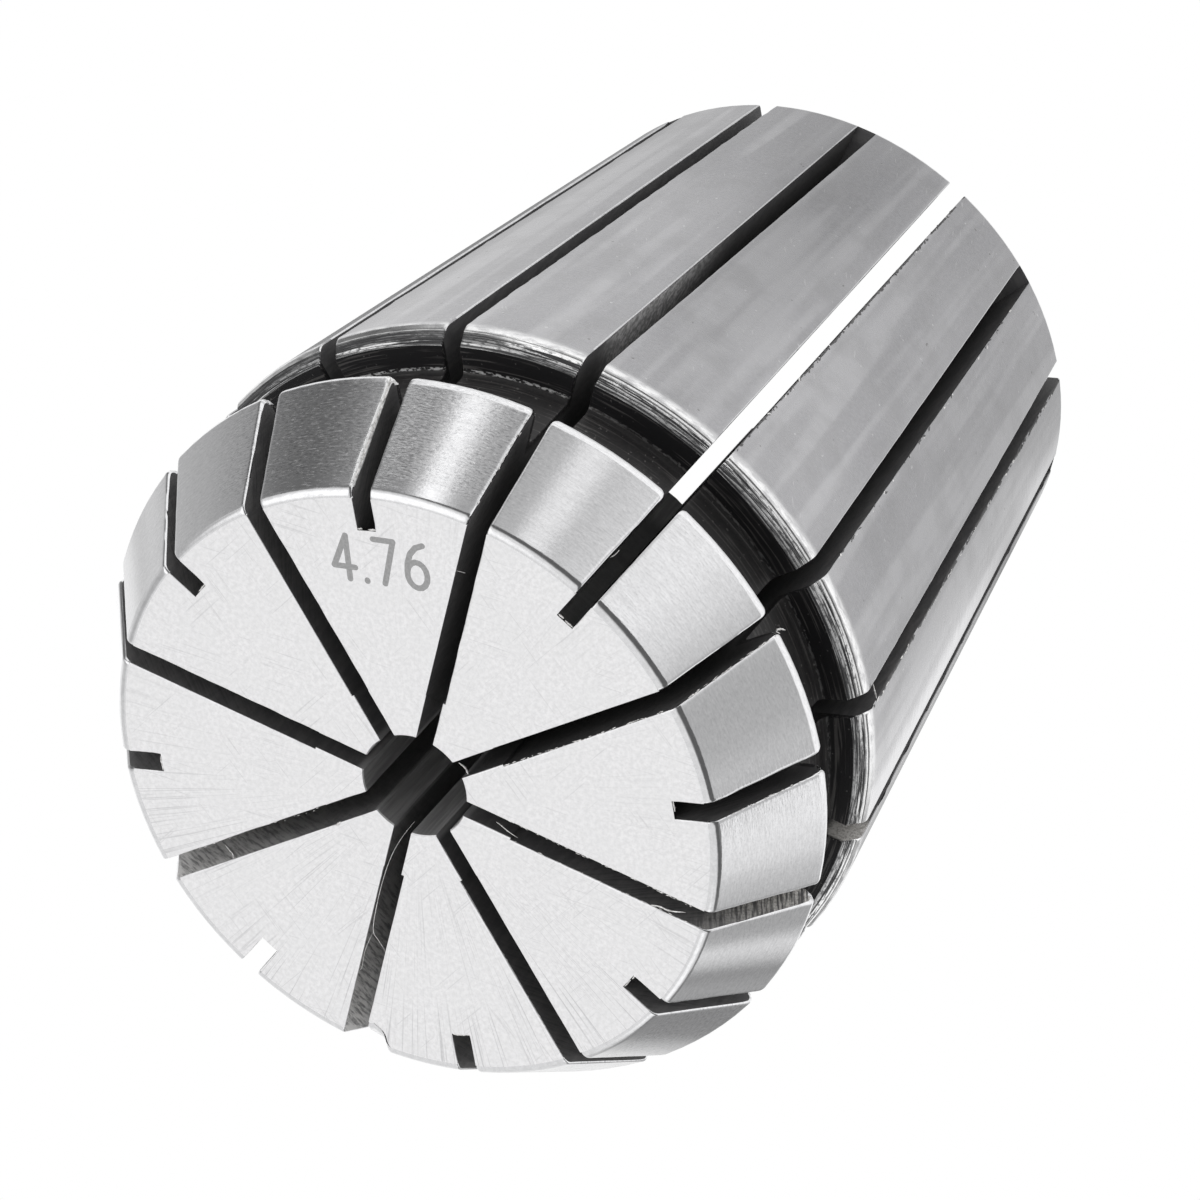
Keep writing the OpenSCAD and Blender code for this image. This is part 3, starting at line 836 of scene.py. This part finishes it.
    # lighter wall of the slit at -90 degrees, on the nose and where it meets the body's chamfer: partly scuffed, partly
    # painted light on a wall that little light reaches
    at = n.math("MULTIPLY", n.remap(n.math("ABSOLUTE", n.math("ADD", ang, math.pi / 2)), 0.12, 0.06), n.remap(rad, 12.8, 13.8))
    marks = n.noise(n.xyz(n.math("MULTIPLY", n.math("SUBTRACT", rad, n.math("MULTIPLY", z, 0.484)), 6.0), n.math("MULTIPLY", z, 0.5), 11.0), 1.0, 3.0, 0.6)
    wall_scuff_and_light = n.math("MULTIPLY", at, n.math("MULTIPLY", n.math("MULTIPLY", n.remap(z, 34.3, 35.0), n.remap(z, 39.6, 36.6, 0.30, 1.0)), n.remap(marks, 0.43, 0.55, 0.04, 1.0)))
    patch_ = n.math("MULTIPLY", n.math("MULTIPLY", n.remap(z, 28.4, 29.2), n.remap(z, 30.75, 30.55)), n.remap(rad, 14.8, 15.2))
    wall_scuff_and_light = n.math("MAXIMUM", wall_scuff_and_light, n.math("MULTIPLY", at, n.math("MULTIPLY", patch_, 0.8)))
    col = n.mix(n.math("MULTIPLY", wall_scuff_and_light, 0.9), col, n.mix(n.remap(grain, 0.38, 0.56), (0.60, 0.58, 0.55), (1.0, 0.98, 0.95)))
    scuff_and_light = n.math("MAXIMUM", scuff_and_light, wall_scuff_and_light)
    n.put(b.inputs["Base Color"], col)
    n.put(b.inputs["Metallic"], n.math("MAXIMUM", n.math("MULTIPLY", scuff_and_light, 0.25), n.math("MULTIPLY", bore_, 0.15)))
    n.put(b.inputs["Roughness"], n.remap(grain, 0.3, 0.7, 0.40, 0.56, False))
    b.inputs["Specular IOR Level"].default_value = 0.28
    h = n.math("ADD", n.math("MULTIPLY", turn, 0.5), n.math("MULTIPLY", saw, 0.5))
    n.put(b.inputs["Normal"], n.bump(h, 0.35, 0.00004))
    return m


def etched_grey():
    """The size number, etched matt grey."""
    m, n, b, x, y, z, ang, rad = material("etched_grey")
    rows_ = n.noise(n.xyz(n.math("MULTIPLY", x, 3.0), n.math("MULTIPLY", y, 3.0), 0.0), 3.0, 2.0, 0.5)
    n.put(b.inputs["Base Color"], n.mix(n.remap(rows_, 0.3, 0.7), (0.36, 0.36, 0.362), (0.44, 0.44, 0.442)))
    b.inputs["Metallic"].default_value = 0.6
    b.inputs["Roughness"].default_value = 0.55
    return m


def worn_edge():
    """Edge of one slit on the nose, torn up and bright."""
    m, n, b, x, y, z, ang, rad = material("worn_edge")
    q = n.noise(n.xyz(x, y, z), 7.0, 2.0, 0.6)
    n.put(b.inputs["Base Color"], n.mix(n.remap(q, 0.32, 0.48), (0.70, 0.70, 0.70), (1.0, 1.0, 1.0)))
    b.inputs["Metallic"].default_value = 1.0
    b.inputs["Roughness"].default_value = 0.75
    return m


mats = [ground_face(), ground_nose(), turned_flank(), satin_taper(), black_oxide(), ground_face(), worn_edge()]
mats[5].name = "ground_rear"
for q in mats:
    me.materials.append(q)
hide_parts("collet")
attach(body, "root")

# ------------------------------------------------------------- size number
# The bore in millimetres, etched a hair deep and filled: plain digits of round-ended
# strokes, in mm, before they are turned to their place.
PEN = 0.132
loop6 = [(3.98 + 0.46 * math.cos(math.radians(a)), 0.74 + 0.61 * math.sin(math.radians(a))) for a in range(0, 361, 24)]
STROKES = [[(0.80, 0.13), (0.80, 2.17), (0.13, 0.70), (1.10, 0.70)],
           [(1.60, 0.13), (1.60, 0.17)],
           [(2.08, 2.17), (3.00, 2.17), (2.42, 0.13)],
           loop6,
           [(3.53, 0.85), (3.58, 1.26), (3.74, 1.70), (4.02, 2.03), (4.36, 2.17)]]
pv, pf = [], []
for path in STROKES:
    for a, b in zip(path[:-1], path[1:]):
        t = math.atan2(b[1] - a[1], b[0] - a[0])
        capsule = []
        for end, t0 in ((b, t - math.pi / 2), (a, t + math.pi / 2)):
            for k in range(9):
                q = t0 + math.pi * k / 8
                capsule.append((end[0] + PEN * math.cos(q), end[1] + PEN * math.sin(q)))
        pf.append(list(range(len(pv), len(pv) + len(capsule))))
        pv += [Vector(c) for c in capsule]
res = delaunay_2d_cdt(pv, [], pf, 0, 1e-6)
tri = [t for t, src in zip(res[2], res[5]) if src]
used = {}
for t in tri:
    for a, b in zip(t, t[1:] + t[:1]):
        used[(a, b)] = used.get((a, b), 0) + 1
edge_ = [e for e in used if (e[1], e[0]) not in used]
ca, sa = math.cos(math.radians(-71.0)), math.sin(math.radians(-71.0))
co, fc = [], []
for zz in (LEN + 0.004, LEN - 0.03):
    for v in res[0]:
        px, py = v[0] - 2.30, v[1] - 1.15
        co.append(((px * ca - py * sa + 9.98) * MM, (px * sa + py * ca + 3.74) * MM, zz * MM))
m0 = len(res[0])
fc = [list(t) for t in tri] + [[v + m0 for v in t][::-1] for t in tri] + [[a, a + m0, b + m0, b] for a, b in edge_]
mm = bpy.data.meshes.new("size_mark")
mm.from_pydata(co, [], fc)
bw = bmesh.new()
bw.from_mesh(mm)
bmesh.ops.delete(bw, geom=[v for v in bw.verts if not v.link_faces], context="VERTS")
bmesh.ops.recalc_face_normals(bw, faces=bw.faces)
print("MARK open edges", sum(len(e.link_faces) != 2 for e in bw.edges), "tris", sum(len(f.verts) - 2 for f in bw.faces))
bw.to_mesh(mm)
bw.free()
mark = bpy.data.objects.new("size_mark", mm)
bpy.context.scene.collection.objects.link(mark)
mm.materials.append(etched_grey())
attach(mark, "root")

# ------------------------------------------------------------ loose burrs
# Hair-fine slivers that the saw left on the edges of the slits: path, radius, in mm.
HAIRS = [
    ([(-0.50, -11.10, 39.97), (-0.30, -11.60, 39.95), (-0.36, -12.05, 39.93), (-0.06, -12.75, 39.90)], 0.045),
    ([(11.30, -12.12, 34.86), (11.42, -11.96, 35.02), (11.62, -12.02, 35.10), (11.68, -12.20, 35.02), (11.60, -12.32, 34.90)], 0.045),
    ([(6.10, -15.30, 29.30), (6.32, -15.22, 29.36), (6.55, -15.12, 29.40), (6.82, -15.00, 29.40)], 0.045),
    ([(11.15, 0.55, 39.96), (11.17, 0.30, 39.90), (11.20, 0.05, 39.88)], 0.011),
    ([(0.06, -3.82, 39.93), (0.00, -4.05, 39.91), (-0.16, -4.42, 39.90), (-0.24, -4.90, 39.91)], 0.026),
    ([(2.84, -3.62, 39.96), (2.96, -3.58, 39.96), (3.10, -3.68, 39.96), (3.13, -3.84, 39.96), (3.04, -3.98, 39.96), (2.86, -3.90, 39.96)], 0.024),
    ([(2.05, -1.62, 39.90), (1.84, -1.86, 39.72), (1.62, -2.02, 39.66), (1.34, -2.20, 39.80)], 0.060),
    ([(-3.75, 2.98, 39.96), (-3.60, 2.90, 40.00), (-3.42, 2.78, 39.98)], 0.060),
    ([(-1.90, -0.30, 39.75), (-2.96, 0.09, 39.80), (-4.15, 0.34, 39.88), (-5.73, 0.42, 39.92), (-7.08, 0.40, 39.92), (-8.20, 0.32, 39.90),
      (-8.42, 0.03, 39.88), (-8.78, -0.38, 39.90), (-8.95, -0.52, 39.92)], 0.019),
    ([(-8.25, 0.30, 39.90), (-9.13, 0.44, 39.90), (-9.60, 0.45, 39.88), (-10.30, 0.40, 39.85), (-10.45, 0.52, 39.90)], 0.017),
    ([(-7.30, 7.62, 39.90), (-7.58, 7.34, 39.82), (-7.66, 7.20, 39.80), (-7.86, 7.08, 39.90)], 0.024),
    ([(14.05, -5.40, 38.60), (14.20, -5.55, 38.45), (14.42, -5.62, 38.35)], 0.018),
]
# bright lips where some of the slits end on the face
for az_, t0, t1, r_ in ((22.5, -0.42, -0.05, 12.09), (22.5, 0.20, 0.44, 12.10), (-22.5, -0.44, 0.02, 12.09), (-22.5, 0.10, 0.40, 12.12),
                        (-67.5, -0.1, 0.42, 12.09), (-112.5, -0.43, 0.10, 12.08), (-112.5, 0.2, 0.43, 12.1), (67.5, -0.42, 0.10, 12.09),
                        (112.5, -0.3, 0.42, 12.10), (-157.5, -0.42, 0.2, 12.08)):
    c_, s_ = math.cos(math.radians(az_)), math.sin(math.radians(az_))
    m1, m2 = t0 + (t1 - t0) * 0.35, t0 + (t1 - t0) * 0.7
    HAIRS.append(([((r_ + h_) * c_ - t * s_, (r_ + h_) * s_ + t * c_, LEN - 0.045) for t, h_ in ((t0, 0), (m1, 0.02), (m2, -0.01), (t1, 0.015))], 0.048))


def hair(verts, faces, pts, rad_, sides=6):
    pts = [Vector(p) for p in pts]
    # smooth the path by corner cutting
    for _ in range(2):
        q = [pts[0]]
        for a, b in zip(pts[:-1], pts[1:]):
            q += [a.lerp(b, 0.25), a.lerp(b, 0.75)]
        pts = q + [pts[-1]]
    m = len(pts)
    ring_ids, ref = [], Vector((0.31, 0.17, 0.93)).normalized()
    for k, p in enumerate(pts):
        d = (pts[min(k + 1, m - 1)] - pts[max(k - 1, 0)]).normalized()
        u = d.cross(ref).normalized()
        w = d.cross(u)
        r = rad_ * min(1.0, 0.18 + 2.4 * min(k, m - 1 - k) / (m - 1)) * (1 + 0.25 * math.sin(k * 2.3))
        base = len(verts)
        for q in range(sides):
            t = 2 * math.pi * q / sides
            verts.append(p + (u * math.cos(t) + w * 0.6 * math.sin(t)) * r)
        ring_ids.append(list(range(base, base + sides)))
    for a, b in zip(ring_ids[:-1], ring_ids[1:]):
        for q in range(sides):
            faces.append([a[q], a[(q + 1) % sides], b[(q + 1) % sides], b[q]])
    faces.append(ring_ids[0][::-1])
    faces.append(ring_ids[-1])


hv, hf = [], []
for pts, rad_ in HAIRS:
    hair(hv, hf, pts, rad_)
n_hair = len(hf)


def flake(p, along, across, out_, la, lb, lc):
    """Small flat chip of metal about p: six corners."""
    base = len(hv)
    for a_, b_, c_ in ((la, 0, 0), (la * 0.15, lb, 0), (-la, 0, 0), (-la * 0.2, -lb, 0), (0, 0, lc), (0, 0, -lc)):
        hv.append(p + along * a_ + across * b_ + out_ * c_)
    for a_, b_, c_ in ((0, 1, 4), (1, 2, 4), (2, 3, 4), (3, 0, 4), (1, 0, 5), (2, 1, 5), (3, 2, 5), (0, 3, 5)):
        hf.append([base + a_, base + b_, base + c_])


# torn clockwise edges of three body slits: flakes, some dark and some bright
rng = np.random.RandomState(41)
kinds = []
for j, count, half_, share in ((15, 150, 0.43, 0.92), (13, 120, 0.43, 0.75), (14, 34, 0.46, 0.7), (11, 30, 0.43, 0.6)):
    az_ = S_AZ[j]
    e_r = Vector((math.cos(az_), math.sin(az_), 0))
    e_t = Vector((-math.sin(az_), math.cos(az_), 0))
    down = (e_r * tdir[0] + Vector((0, 0, tdir[1]))).normalized()
    out_n = (e_r * math.cos(math.radians(8)) - Vector((0, 0, 1)) * math.sin(math.radians(8))).normalized()
    for _ in range(count):
        z_ = rng.uniform(1.2, 29.6)
        r_ = BODY_R - (TAPER - z_) * T8
        t_ = half_ + rng.uniform(0.0, 0.10)
        x_ = math.sqrt(r_ * r_ - t_ * t_)
        p = e_r * (x_ - 0.004) - e_t * t_ + Vector((0, 0, z_))
        tilt = rng.uniform(-0.25, 0.25)
        al = (down + e_t * tilt).normalized()
        flake(p, al, out_n.cross(al).normalized(), out_n, rng.uniform(0.07, 0.26), rng.uniform(0.030, 0.075), rng.uniform(0.010, 0.018))
        kinds += [0 if rng.uniform() < share else 1] * 8
# bright torn flecks on slit edges of the nose (n) and the face (f): side, count, size
T30 = math.tan(math.radians(30.0))
for where_, j, side_, half_, count, size_ in (
        ("n", 1, 1, 0.425, 95, 1.35), ("n", 13, -1, 0.425, 30, 0.9), ("n", 14, -1, 0.45, 34, 0.9), ("n", 0, 1, 0.45, 20, 0.8),
        ("f", 14, -1, 0.45, 60, 0.8), ("f", 12, 1, 0.45, 44, 0.7), ("f", 12, -1, 0.45, 40, 0.7), ("f", 6, -1, 0.45, 14, 0.6),
        ("f", 10, -1, 0.45, 12, 0.6)):
    az_ = S_AZ[j]
    e_r = Vector((math.cos(az_), math.sin(az_), 0))
    e_t = Vector((-math.sin(az_), math.cos(az_), 0)) * side_
    for _ in range(count):
        t_ = half_ + rng.uniform(-0.05, 0.02)
        if where_ == "n":
            z_ = rng.uniform(35.2, 39.4)
            al = (e_r * T30 - Vector((0, 0, 1))).normalized()
            out_n = (e_r + Vector((0, 0, 1)) * T30).normalized()
            r_ = 13.85 + (LEN - z_) * T30
            p = e_r * math.sqrt(r_ * r_ - t_ * t_) + e_t * (t_ + 0.012) + Vector((0, 0, z_)) - out_n * 0.012
        else:
            al, out_n = e_r, Vector((0, 0, 1))
            p = e_r * rng.uniform(4.2, 13.2) + e_t * t_ + Vector((0, 0, LEN - 0.008))
        al = (al + e_t * rng.uniform(-0.2, 0.2)).normalized()
        lean = rng.uniform(-1.1, 1.1)
        across = (out_n.cross(al).normalized() * math.cos(lean) + out_n * math.sin(lean)).normalized()
        flake(p, al, across, across.cross(al).normalized(), size_ * rng.uniform(0.05, 0.19), size_ * rng.uniform(0.020, 0.036), 0.014)
        kinds += [1] * 8
hm = bpy.data.meshes.new("burrs")
hm.from_pydata([tuple(v * MM) for v in hv], [], hf)
bw = bmesh.new()
bw.from_mesh(hm)
bmesh.ops.recalc_face_normals(bw, faces=bw.faces)
for f in bw.faces:
    f.smooth = True
print("BURRS open edges", sum(len(e.link_faces) != 2 for e in bw.edges), "tris", sum(len(f.verts) - 2 for f in bw.faces))
bw.to_mesh(hm)
bw.free()
burrs = bpy.data.objects.new("burrs", hm)
bpy.context.scene.collection.objects.link(burrs)
bright, n, b, x, y, z, ang, rad = material("bright_burr")
col = n.mix(n.remap(n.noise(n.xyz(x, y, z), 6.0, 2.0, 0.6), 0.35, 0.65), (0.62, 0.61, 0.60), (0.93, 0.92, 0.91))
n.put(b.inputs["Base Color"], col)
b.inputs["Metallic"].default_value = 1.0
b.inputs["Roughness"].default_value = 0.50
hm.materials.append(bright)
hm.materials.append(mats[BLACK])
for k, dark in enumerate(kinds):
    hm.polygons[n_hair + k].material_index = 1 - dark
    hm.polygons[n_hair + k].use_smooth = False
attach(burrs, "root")

# --------------------------------------------------------------------- camera
# rows: right, down and forward in the part's own frame; t in mm
CAM_R = np.array([[0.19841554, -0.88205311, -0.42733312],
                  [-0.78331294, -0.40477211, 0.47178424],
                  [-0.58911128, 0.24112623, -0.77123669]])
CAM_T = np.array([9.36259719, -11.12028331, 442.45575868])
u_, _, v_ = np.linalg.svd(CAM_R)
CAM_R = u_ @ v_
loc = -CAM_R.T @ CAM_T * MM
cam = bpy.data.cameras.new("camera")
cam.sensor_width = 36.0
cam.lens = 9883.65 / 1200 * 36
cam.clip_start, cam.clip_end = 0.01, 50.0
camo = bpy.data.objects.new("camera", cam)
rt, up, back = CAM_R[0], -CAM_R[1], -CAM_R[2]
camo.matrix_world = Matrix(((rt[0], up[0], back[0], loc[0]), (rt[1], up[1], back[1], loc[1]),
                            (rt[2], up[2], back[2], loc[2]), (0, 0, 0, 1)))
bpy.context.scene.collection.objects.link(camo)
scene = bpy.context.scene
scene.camera = camo
scene.view_settings.view_transform = "Standard"
scene.view_settings.look = "None"

# ------------------------------------------------------- studio: room and floor
# Soft cards and dark flags round the table, as (azimuth in degrees, level): the
# strip at table height, then the light table's outer part.
STR = 1.5
SKY = [(-180, 0.90), (-166, 0.76), (-158, 0.26), (-142, 0.28), (-112, 0.17), (-98, 0.30), (-88, 0.68), (-80, 0.57),
       (-69, 0.55), (-58, 0.68), (-46, 0.98), (-36, 1.15), (-28, 1.13), (-13, 0.85), (-8, 0.74), (-3, 1.10), (1, 1.10),
       (6, 0.60), (22, 0.46), (25, 0.66), (28, 1.28), (32, 1.55), (36, 0.55), (40, 0.30), (48, 0.27), (70, 0.20),
       (85, 0.40), (101, 0.55), (132, 0.78), (150, 0.90), (180, 0.90)]
TABLE = [(-180, 0.95), (-171, 0.93), (-167, 0.62), (-162, 0.33), (-155, 0.31), (-147, 0.46), (-142.5, 0.34), (-139, 0.74),
         (-136, 0.95), (-132, 0.48), (-125, 0.50), (-118, 0.72), (-112, 1.00), (-104, 1.14), (-97, 1.25), (-88, 1.25),
         (40, 1.25), (52, 0.60), (58, 0.24), (66, 0.17), (73, 0.19), (80, 0.30), (88, 0.44), (97, 0.52), (106, 0.60),
         (113, 0.76), (118, 0.70), (124, 0.95), (133, 1.10), (150, 1.08), (180, 0.95)]
# height in degrees, by azimuth, under which the room behind the camera is dark
DARK = [(-180, -40), (-168, -20), (-158, 13), (-142, 13), (-128, 22), (-116, 34), (-104, 56), (-88, 60), (-46, 62),
        (-10, 56), (4, 46), (18, 37), (30, 29), (42, 20), (63, 14), (76, 9), (88, -18), (100, -40), (180, -40)]


def around(n, ang, stops, scale, shift=0.0):
    f = n.math("ADD", n.math("DIVIDE", ang, 2 * math.pi), 0.5)
    return n.ramp(f, [((a + 180) / 360, (v + shift) / scale) for a, v in stops], "EASE" if scale < 10 else "LINEAR")


def spot(n, x, y, z, el, az, r0, r1):
    """Soft round lamp: 1 within r1 degrees of a direction, 0 beyond r0."""
    e, a = math.radians(el), math.radians(az)
    d = n.math("ADD", n.math("ADD", n.math("MULTIPLY", x, math.cos(e) * math.cos(a)),
                             n.math("MULTIPLY", y, math.cos(e) * math.sin(a))), n.math("MULTIPLY", z, math.sin(e)))
    return n.remap(d, math.cos(math.radians(r0)), math.cos(math.radians(r1)))


world = bpy.data.worlds.new("room")
scene.world = world
world.use_nodes = True
n = Nodes(world.node_tree)
bg = world.node_tree.nodes["Background"]
tc = n.new("ShaderNodeTexCoord")
wx, wy, wz = n.sep(tc.outputs["Generated"])
waz = n.math("ARCTAN2", wy, wx)
hor = around(n, waz, SKY, STR)
el = n.math("MULTIPLY", n.math("ARCSINE", wz), 180 / math.pi)
edge = n.math("SUBTRACT", n.math("MULTIPLY", around(n, waz, DARK, 120.0, 40.0), 120.0), 40.0)
lit = n.remap(n.math("SUBTRACT", el, edge), -11.0, 11.0)
room = n.mix(lit, (0.14 / STR,) * 3, (0.93 / STR,) * 3)
room = n.mix(n.math("MULTIPLY", spot(n, wx, wy, wz, 30, 112, 32, 12), 1.0), room, (0.56 / STR,) * 3)
room = n.mix(spot(n, wx, wy, wz, 56, 80, 34, 14), room, (1.45 / STR,) * 3)
room = n.mix(spot(n, wx, wy, wz, 37, -157, 17, 5), room, (1.30 / STR,) * 3)
lvl = n.mix(n.remap(el, 11.0, 14.5), hor, room)
n.put(bg.inputs["Color"], lvl)
bg.inputs["Strength"].default_value = STR

# pale light table
fm = bpy.data.meshes.new("floor")
half = 3.0
fm.from_pydata([(-half, -half, 0), (half, -half, 0), (half, half, 0), (-half, half, 0)], [], [(0, 1, 2, 3)])
floor = bpy.data.objects.new("floor", fm)
scene.collection.objects.link(floor)
floor.location.z = -0.00001
m = bpy.data.materials.new("light_table")
m.use_nodes = True
n = Nodes(m.node_tree)
bsdf = m.node_tree.nodes["Principled BSDF"]
bsdf.inputs["Base Color"].default_value = (0.8, 0.8, 0.8, 1)
bsdf.inputs["Roughness"].default_value = 0.9
out = m.node_tree.nodes["Material Output"]
tc = n.new("ShaderNodeTexCoord")
fx, fy, fz = n.sep(tc.outputs["Object"])
fx, fy = n.math("MULTIPLY", fx, 1000.0), n.math("MULTIPLY", fy, 1000.0)
rad = n.math("SQRT", n.math("ADD", n.math("MULTIPLY", fx, fx), n.math("MULTIPLY", fy, fy)))
faz = n.math("ARCTAN2", fy, fx)
# close to the part the table is dimmer, shaded by the part itself
near = n.ramp(n.math("DIVIDE", rad, 60.0), [(0.0, 0.80 / STR), (14 / 60, 0.82 / STR), (20 / 60, 0.86 / STR),
                                           (27 / 60, 0.97 / STR), (35 / 60, 1.10 / STR), (44 / 60, 1.22 / STR)], "LINEAR")
# a light streak across it at one side, and a slightly lighter quarter
q = n.math("ADD", n.math("ADD", n.math("MULTIPLY", fx, 0.414), n.math("MULTIPLY", fy, -0.910)), -11.4)
streak = n.math("MULTIPLY", n.math("MULTIPLY", n.remap(q, 3.0, -0.2), n.remap(q, -5.9, -2.2)), n.remap(fx, 3.0, -3.0))
streak = n.math("MULTIPLY", streak, n.remap(rad, 45.0, 33.0))
near = n.mix(n.math("MULTIPLY", streak, 0.92), near, (1.44 / STR,) * 3)
# dim patches beside the part, and towards the back
slant = n.math("ADD", fx, n.math("MULTIPLY", n.math("SUBTRACT", fy, 12.0), 0.61))
for mask, level in (
        (n.math("MULTIPLY", n.remap(n.math("ABSOLUTE", n.math("ADD", fy, 12.0)), 3.7, 1.6), n.math("MULTIPLY", n.remap(fx, -1.0, -6.0), n.remap(fx, -36.0, -27.0))), 0.38),
        (n.math("MULTIPLY", n.math("MULTIPLY", n.remap(slant, 8.5, 4.5), n.remap(slant, -4.0, 1.0, 0.3, 1.0)), n.math("MULTIPLY", n.remap(fy, 7.0, 11.0), n.remap(rad, 38.0, 28.0))), 0.22),
        (n.math("MULTIPLY", n.remap(n.math("ABSOLUTE", fy), 6.5, 1.5), n.math("MULTIPLY", n.remap(fx, 8.0, 14.0), n.remap(fx, 32.0, 23.0, 0.0, 0.45))), 0.50),
        (n.math("MULTIPLY", n.math("MULTIPLY", n.remap(n.math("ABSOLUTE", n.math("ADD", faz, 1.50)), 0.55, 0.30), n.remap(rad, 34.0, 27.0)), 0.5), 0.70),
        (n.math("MULTIPLY", n.math("MULTIPLY", n.remap(n.math("ABSOLUTE", n.math("SUBTRACT", faz, 0.56)), 0.34, 0.12), n.math("MULTIPLY", n.remap(rad, 32.0, 26.0), n.remap(rad, 16.0, 20.0))), 0.8), 1.00),
        (n.math("MULTIPLY", n.remap(n.math("ABSOLUTE", faz), 2.55, 2.85), n.remap(rad, 30.0, 42.0)), 0.93)):
    near = n.mix(mask, near, (level / STR,) * 3)
outer = around(n, faz, TABLE, STR)
# the camera's side is bright up to arm's length only
dim = n.math("MULTIPLY", n.remap(rad, 330.0, 700.0), n.math("MULTIPLY", n.remap(faz, -1.75, -1.5), n.remap(faz, 0.9, 0.7)))
outer = n.mix(dim, outer, (0.70 / STR,) * 3)
glow = n.mix(n.remap(rad, 46.0, 60.0), near, outer)
em = n.new("ShaderNodeEmission")
n.put(em.inputs["Color"], glow)
em.inputs["Strength"].default_value = STR
em2 = n.new("ShaderNodeEmission")
em2.inputs["Color"].default_value = (1, 1, 1, 1)
em2.inputs["Strength"].default_value = 1.0
lp = n.new("ShaderNodeLightPath")
mx = n.new("ShaderNodeMixShader")
n.l.new(lp.outputs["Is Camera Ray"], mx.inputs[0])
n.l.new(em.outputs[0], mx.inputs[1])
n.l.new(em2.outputs[0], mx.inputs[2])
n.l.new(mx.outputs[0], out.inputs["Surface"])
fm.materials.append(m)
